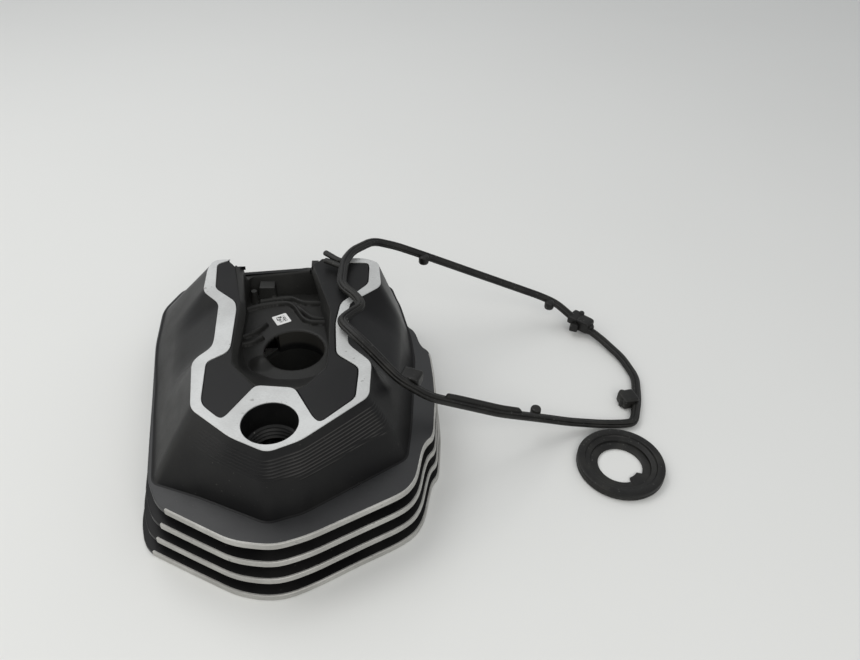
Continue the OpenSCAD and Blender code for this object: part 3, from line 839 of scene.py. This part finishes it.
def plugWell(s, cover):
    # tube with the seal seat at its foot; above the window's sill the wall is a part turn,
    # whose height attribute rises from the sill so that the top gets a painted highlight
    r0, r1 = cover["well"], cover["well"] + s["wall"]
    top, sill, seat = cover["floor"] - 3.5, s["windowFrom"], s["seat"]
    low = [(r0, sill), (r0, 9.8), (r0 + 0.3, 9.5), (seat, 9.5), (seat, 0.4), (seat + 0.4, 0.0),
           (seat + 4.1, 0.0), (seat + 4.5, 0.4), (seat + 4.5, 13.5), (seat + 4, 14), (r1 + 1, 14),
           (r1, 15), (r1, sill)]
    gridPiece("plugWellTube", turned(low, (0, 0)), "cover", insideCoat,
              ["plug_well_tube"], soft=40)
    floor = cover["floor"]
    high = [(r0 - 0.3, z) for z in np.linspace(sill + 2, floor - 0.7, 12)]
    high += [(r0 + 0.6, floor - 0.5), (r0 + 0.6, top), (r1, top), (r1, sill + 0.01),
             (r0, sill + 0.01), (r0, sill + 1.5)]
    light = smooth(np.array([z for r, z in high]), sill + 1, sill + 9)
    end, start = s["window"]
    count = 100
    skirt = turned(high, (0, 0), count, start - 2 * math.pi, end - start + 2 * math.pi)
    gridPiece("plugWellSkirt", skirt, "cover", skirtCoat, closeU=False, soft=40,
              capEnds=True, values={"height": np.broadcast_to(light, (count, len(high)))})


neckSettings = {"wall": 3.0, "deep": 27.0, "threadTop": 72.8, "pitch": 3.0, "turns": 4,
                "crest": 14.4}


def fillerNeck(s, cover):
    # a plain tube, and inside it a saw of crests and roots for the thread
    fx, fy, fr = cover["filler"]
    z1, z0 = cover["top"] - 0.35, cover["top"] - 4 - s["deep"]
    outside, shoulder = fr + s["wall"], cover["top"] - 4.0
    section = [(fr + 0.5, z1), (fr + 0.05, z1 - 0.5), (fr, z1 - 1.0), (fr, z0), (outside, z0),
               (outside, shoulder), (fr + 1.0, shoulder), (fr + 1.0, z1)]
    gridPiece("fillerNeck", turned(section, (fx, fy)), "cover", coat,
              ["filler_neck"], soft=40)
    turnTop = s["threadTop"] - np.arange(s["turns"]) * s["pitch"]
    crest = np.column_stack([np.full(s["turns"], s["crest"]), turnTop - 0.8])
    root = np.column_stack([np.full(s["turns"], fr - 0.15), turnTop - 2.6])
    saw = np.stack([crest, crest + [0, -0.5], root], axis=1).reshape(-1, 2)
    section = [(fr + 0.2, s["threadTop"])] + saw.tolist() + [(fr + 0.2, saw[-1, 1])]
    gridPiece("fillerThread", turned(section, (fx, fy)), "cover", threadShadeMetal,
              ["filler_thread"], soft=30)


plugWell(wellSettings, coverSettings)
fillerNeck(neckSettings, coverSettings)
print("well and filler made")


def codeLabel(s, cover):
    # a square film whose corners are quarter rounds, turned on the channel floor
    a = math.radians(s["turn"])
    h, c = s["side"] / 2, 0.9
    corner = [np.array([sx * (h - c), sy * (h - c)]) + c * np.column_stack(
              [np.cos(b), np.sin(b)]) for (sx, sy), b in zip(
              [(1, 1), (-1, 1), (-1, -1), (1, -1)],
              [np.linspace(k * math.pi / 2, (k + 1) * math.pi / 2, 6) for k in range(4)])]
    pts = np.concatenate(corner)
    turn = np.array([[math.cos(a), math.sin(a)], [-math.sin(a), math.cos(a)]])
    pts = pts @ turn + np.asarray(s["centre"])
    platePiece("codeLabel", [pts], cover["floor"] + 0.02, cover["floor"] + 0.3, "cover",
               labelFilm, ["data_label"], 0.06, 1)


codeLabel(labelSettings, coverSettings)
for name, finish in (("skirt_wall", coat), ("base_flange", insideCoat), ("deck_plate", coat)):
    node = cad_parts[name]
    node.data.materials.clear()
    node.data.materials.append(finish)
print("label made and cast parts coated")


# the rim gasket

gasketSettings = {
    "path": [[33, -17.6, 95.6], [39.4, -9.7, 95.8], [47.3, -1.8, 95.4], [44, 8.3, 95.4],
             [33.1, 21.9, 95.8], [34.8, 49.9, 95.8], [40.5, 64.7, 95.4], [56.1, 83.3, 92],
             [73.8, 87.6, 84.5], [95.1, 90.5, 74], [125.6, 93.7, 59], [160.3, 97.3, 42],
             [196.1, 98.5, 26], [210.6, 97.5, 19], [227.7, 82.4, 10], [243.3, 66.1, 5.6],
             [255.8, 42.5, 3.8], [260.2, 20.2, 3.3], [254.2, -5.3, 3.3], [245, -28.5, 3.3],
             [235.6, -29.7, 3.4], [218.8, -29.9, 4.4], [195.3, -31.6, 9.3], [171.1, -36, 19],
             [139.2, -46.5, 36], [110.2, -52.7, 52], [89.6, -57.7, 64], [70.4, -55.5, 77.5],
             [60.6, -48.5, 85], [50.8, -39.3, 91.5], [42.1, -30.2, 94.8]],
    "wide": 3.4, "high": 3.0,
    "lugs": [[95.5, 86.5, 72.5, 4.0, 7.0], [203.5, 92.5, 21, 4.0, 7.0],
             [168.5, -31.2, 21.0, 3.8, 7.5]],
    "stop": (78.0, -49.0, 73.0, 6.6, 5.4, 4.4, -0.45),   # the big stop on the near run
    "tabs": [[[37.5, 50, 95.6], [30.5, 52, 96], [25.5, 56.4, 96.8], [20.4, 60.6, 97.5]],
             [[37, 43, 95.6], [32.1, 44.4, 96], [26.3, 48.6, 96.2], [20.6, 51.8, 96.5]]],
    "lip": [[99.5, -55.1, 60.8], [110.2, -52.2, 54.9], [139.2, -45.9, 38.9],
            [158, -39.8, 28.6]],
    # the moulded corner blocks: place, size and turn of each part
    "corners": [("block", 231.0, 81.5, 9.5, 8.6, 5.6, 5.4, -0.78),
                ("block", 226.0, 86.5, 11.5, 4.4, 6.6, 3.6, -0.78),
                ("peg", 236.5, 75.0, 8.0, 3.0, 9.0),
                ("peg", 231.5, 88.5, 12.5, 2.4, 7.0),
                ("block", 223.5, 78.5, 8.0, 3.4, 2.6, 3.6, -0.4),
                ("block", 246.5, -5.5, 4.9, 6.4, 6.2, 4.5, 0.25),
                ("peg", 242.8, -1.5, 5.0, 2.8, 8.6),
                ("peg", 241.6, -8.0, 4.0, 2.4, 6.6)],
}


def ribbedSection(count, ribs, depth):
    # a round whose radius dips in a few narrow valleys, which leave ribs along the length
    a = np.arange(count) * 2 * math.pi / count + 0.2
    r = 1 - depth * np.clip(np.cos(ribs * a), 0, 1) ** 3
    return np.column_stack([np.cos(a) * r, np.sin(a) * r])


def carried(path, section, wide, high, closed):
    # the section stands square to the path, with one side kept level
    p = np.asarray(path, float)
    if closed:
        w = np.roll(p, -1, axis=0) - np.roll(p, 1, axis=0)
    else:
        w = np.gradient(p, axis=0)
    w /= np.linalg.norm(w, axis=1, keepdims=True)
    side = np.column_stack([w[:, 1], -w[:, 0], np.zeros(len(w))])
    side /= np.linalg.norm(side, axis=1, keepdims=True)
    up = np.cross(side, w)
    wide, high = [np.broadcast_to(v, len(p))[:, None, None] for v in (wide, high)]
    return p[:, None] + side[:, None] * section[None, :, :1] * wide \
        + up[:, None] * section[None, :, 1:] * high


def roundEnds(count, share):
    # 1 along the middle of a run and a quarter round down to nothing at both ends
    t = np.linspace(0, 1, count)
    d = np.clip(np.minimum(t, 1 - t) / share, 0, 1)
    return np.sqrt(np.clip(1 - (1 - d) ** 2, 0.004, 1))


def peg(x, y, z, r, h, count=36):
    # a squat round lug with rounded top and foot, as one closed surface
    v = np.linspace(-math.pi / 2, math.pi / 2, 13)
    rr = r * np.abs(np.cos(v)) ** 0.35
    zz = z + h / 2 * signedPower(np.sin(v), 0.45)
    return turned(np.column_stack([np.maximum(rr, 0.01), zz]), (x, y), count)


def joinGrids(name, grids, body, finish, replaces):
    # several grids as one mesh; each is points, closed along u or not, closed along v or not,
    # and the direction whose two ends are capped
    verts, faces, start = [], [], 0
    for p, closeU, closeV, cap in grids:
        nu, nv = p.shape[:2]
        own = [[k + start for k in f] for f in gridFaces(nu, nv, closeU, closeV)]
        if cap == "u":
            own += [[start + k for k in range(nv)],
                    [start + (nu - 1) * nv + k for k in range(nv)]]
        if cap == "v":
            own += [[start + k * nv for k in range(nu)],
                    [start + k * nv + nv - 1 for k in range(nu)]]
        faces += own
        verts.append(p.reshape(-1, 3))
        start += nu * nv
    return makePiece(name, np.concatenate(verts), faces, body, finish, replaces, 45)


def rimGasket(s):
    # ribbed cord round the loop, lugs and tabs joined to it, and an upright lip on the near run
    path = softLoop(s["path"], 7.0, 8)
    beadSection = ribbedSection(40, 5, 0.26)
    gridPiece("gasketBead", carried(path, beadSection, s["wide"], s["high"], True),
              "rim_gasket", rubber, ["gasket_bead"], soft=60)
    plain = ribbedSection(20, 4, 0.05)
    lugs = [(peg(*l), True, False, "v") for l in s["lugs"]]
    lugs.append((softBlock(*s["stop"]), True, False, "v"))
    for t in s["tabs"]:
        line = evenLine(softLine(t, 4.0, 8), 40)
        fade = roundEnds(len(line), 0.08)
        lugs.append((carried(line, plain, 2.3 * fade, 1.9 * fade, False), False, True, "u"))
    joinGrids("gasketLugs", lugs, "rim_gasket", rubber, ["gasket_lugs"])
    line = evenLine(softLine(s["lip"], 5.0, 8), 80)
    fade = roundEnds(len(line), 0.02)
    droop = 1 - 0.75 * smooth(np.linspace(0, 1, len(line)), 0.88, 1.0)
    line[:, 2] -= 3.0 * (1 - droop)
    a = np.arange(24) * math.pi / 12
    flat = np.column_stack([signedPower(np.cos(a), 0.5), signedPower(np.sin(a), 0.5)])
    gridPiece("gasketLip", carried(line, flat, 1.1 * fade, 3.5 * droop * fade, False), "rim_gasket",
              rubber, ["gasket_lip"], closeU=False, soft=50, capEnds=True)


def softBlock(x, y, z, sx, sy, sz, turn, power=0.28, nu=40, nv=21):
    # rounded box: signed powers of the sine and cosine of two angles
    a = np.arange(nu) * 2 * math.pi / nu
    b = np.linspace(-math.pi / 2, math.pi / 2, nv)
    ca, sa = signedPower(np.cos(a), power), signedPower(np.sin(a), power)
    cb, sb = np.maximum(signedPower(np.cos(b), power), 0.01), signedPower(np.sin(b), power)
    px, py = sx * ca[:, None] * cb[None], sy * sa[:, None] * cb[None]
    c, n = math.cos(turn), math.sin(turn)
    return np.stack([x + c * px - n * py, y + n * px + c * py,
                     z + sz * np.broadcast_to(sb, px.shape)], axis=2)


def gasketBlocks(s):
    # moulded corner blocks: soft-edged bodies with round stops on them
    shapes = {"block": softBlock, "peg": peg}
    grids = [(shapes[kind](*rest), True, False, "v") for kind, *rest in s["corners"]]
    joinGrids("gasketBlocks", grids, "rim_gasket", rubber, ["gasket_blocks"])


rimGasket(gasketSettings)
gasketBlocks(gasketSettings)
print("gasket made")


# the plug-well seal

sealSettings = {"centre": (224.3, -66.5), "outer": 30.5, "hole": 15.5, "high": 6.0,
                "tongue": 3.5, "tongueAt": -55.0, "tongueHalf": 20.0}    # length, bearing, half width


def plugSeal(s):
    # stepped ring; near one bearing the two inner rows move in to make the tongue
    ro, h, ri = s["outer"], s["high"], s["hole"]
    section = [(ri, 0.5, 1), (ri + 0.4, 0.2, 1), (ro - 0.8, 0.2, 0), (ro, 1.0, 0), (ro, 2.2, 0),
               (ro - 0.4, 2.5, 0), (ro - 0.4, 2.9, 0), (ro, 3.2, 0), (ro, h - 1.1, 0),
               (ro - 0.4, h - 0.3, 0), (ro - 1.2, h, 0), (ro - 4.8, h, 0), (ro - 5.4, h - 0.3, 0),
               (ro - 5.8, h - 1.6, 0), (ro - 6.4, h - 2.0, 0), (ri + 6.2, h - 2.2, 0),
               (ri + 5.6, h - 2.5, 0), (ri + 5.2, h - 3.8, 0), (ri + 0.5, h - 4.1, 1),
               (ri, h - 4.5, 1)]
    r, z, inner = np.array(section).T
    a = np.arange(240) * 2 * math.pi / 240
    off = np.abs((np.degrees(a) - s["tongueAt"] + 180) % 360 - 180)
    pull = s["tongue"] * (1 - smooth(off, s["tongueHalf"] - 3, s["tongueHalf"] + 3))
    rr = r[None] - pull[:, None] * inner[None]
    cx, cy = s["centre"]
    p = np.stack([cx + np.cos(a)[:, None] * rr, cy + np.sin(a)[:, None] * rr,
                  np.broadcast_to(z, rr.shape)], axis=2)
    gridPiece("plugSeal", p, "plug_seal", rubber,
              ["plug_seal_ring", "plug_seal_tongue"], soft=40)


plugSeal(sealSettings)
print("seal made")


# floor, light and camera

studioSettings = {"floor": (0.74, 0.745, 0.73), "sky": 0.55, "keyPower": 6.5, "fillPower": 5.5,
                  "sidePower": 3.5}


def paleFloor(s):
    # a matt sheet with faint clouds
    f = Finish("pale floor")
    cloud = f.noise(f.place(), 3.0, 3.0)
    color = f.mixColor(cloud, s["floor"], tuple(v * 0.96 for v in s["floor"]))
    finish = f.feed(Base_Color=color, Roughness=0.55 + cloud * 0.1)
    mesh = bpy.data.meshes.new("floor")
    far, down = 4, -0.0002
    mesh.from_pydata([(-far, -far, down), (far, -far, down), (far, far, down), (-far, far, down)],
                     [], [(0, 1, 2, 3)])
    mesh.materials.append(finish)
    floor = bpy.data.objects.new("floor", mesh)
    bpy.context.scene.collection.objects.link(floor)


def softLight(name, where, aim, size, power, tint=(1, 1, 1)):
    # a rectangle of light that faces its aim
    light = bpy.data.lights.new(name, "AREA")
    light.shape = "RECTANGLE"
    light.size, light.size_y = size
    light.energy = power
    light.color = tint
    lamp = bpy.data.objects.new(name, light)
    bpy.context.scene.collection.objects.link(lamp)
    lamp.location = where
    lamp.rotation_euler = (Vector(aim) - Vector(where)).to_track_quat("-Z", "Y").to_euler()


paleFloor(studioSettings)
world = bpy.data.worlds.new("sky")
bpy.context.scene.world = world
world.use_nodes = True
sky = world.node_tree.nodes["Background"]
sky.inputs["Color"].default_value = (0.97, 0.985, 1.0, 1)
sky.inputs["Strength"].default_value = studioSettings["sky"]
softLight("key", (-0.5, 0.5, 1.3), (0.05, 0, 0), (1.2, 0.8), studioSettings["keyPower"])
softLight("side", (-1.1, -0.2, 0.55), (-0.05, 0, 0.06), (0.7, 1.2), studioSettings["sidePower"],
          (1, 0.97, 0.91))
softLight("fill", (0.25, -1.0, 0.9), (0.05, 0, 0), (0.8, 0.8), studioSettings["fillPower"],
          (1, 0.98, 0.94))

cameraSettings = {"place": (0.051, -0.400, 0.400), "lens": 31.393}
cameraData = bpy.data.cameras.new("camera")
cameraData.sensor_width = 36
cameraData.lens = cameraSettings["lens"]
cameraData.clip_start = 0.01
camera = bpy.data.objects.new("camera", cameraData)
bpy.context.scene.collection.objects.link(camera)
# the camera's own axes, turned to look at the part from the front and above
right = (0.99639709, -0.07656408, 0.03648)
up = (0.0202591, 0.63255288, 0.77425217)
back = (-0.08235543, -0.77072356, 0.63182496)
turn = Matrix((right, up, back)).transposed().to_4x4()
camera.matrix_world = Matrix.Translation(cameraSettings["place"]) @ turn
bpy.context.scene.camera = camera
bpy.context.scene.view_settings.view_transform = "Standard"
print("stage made")
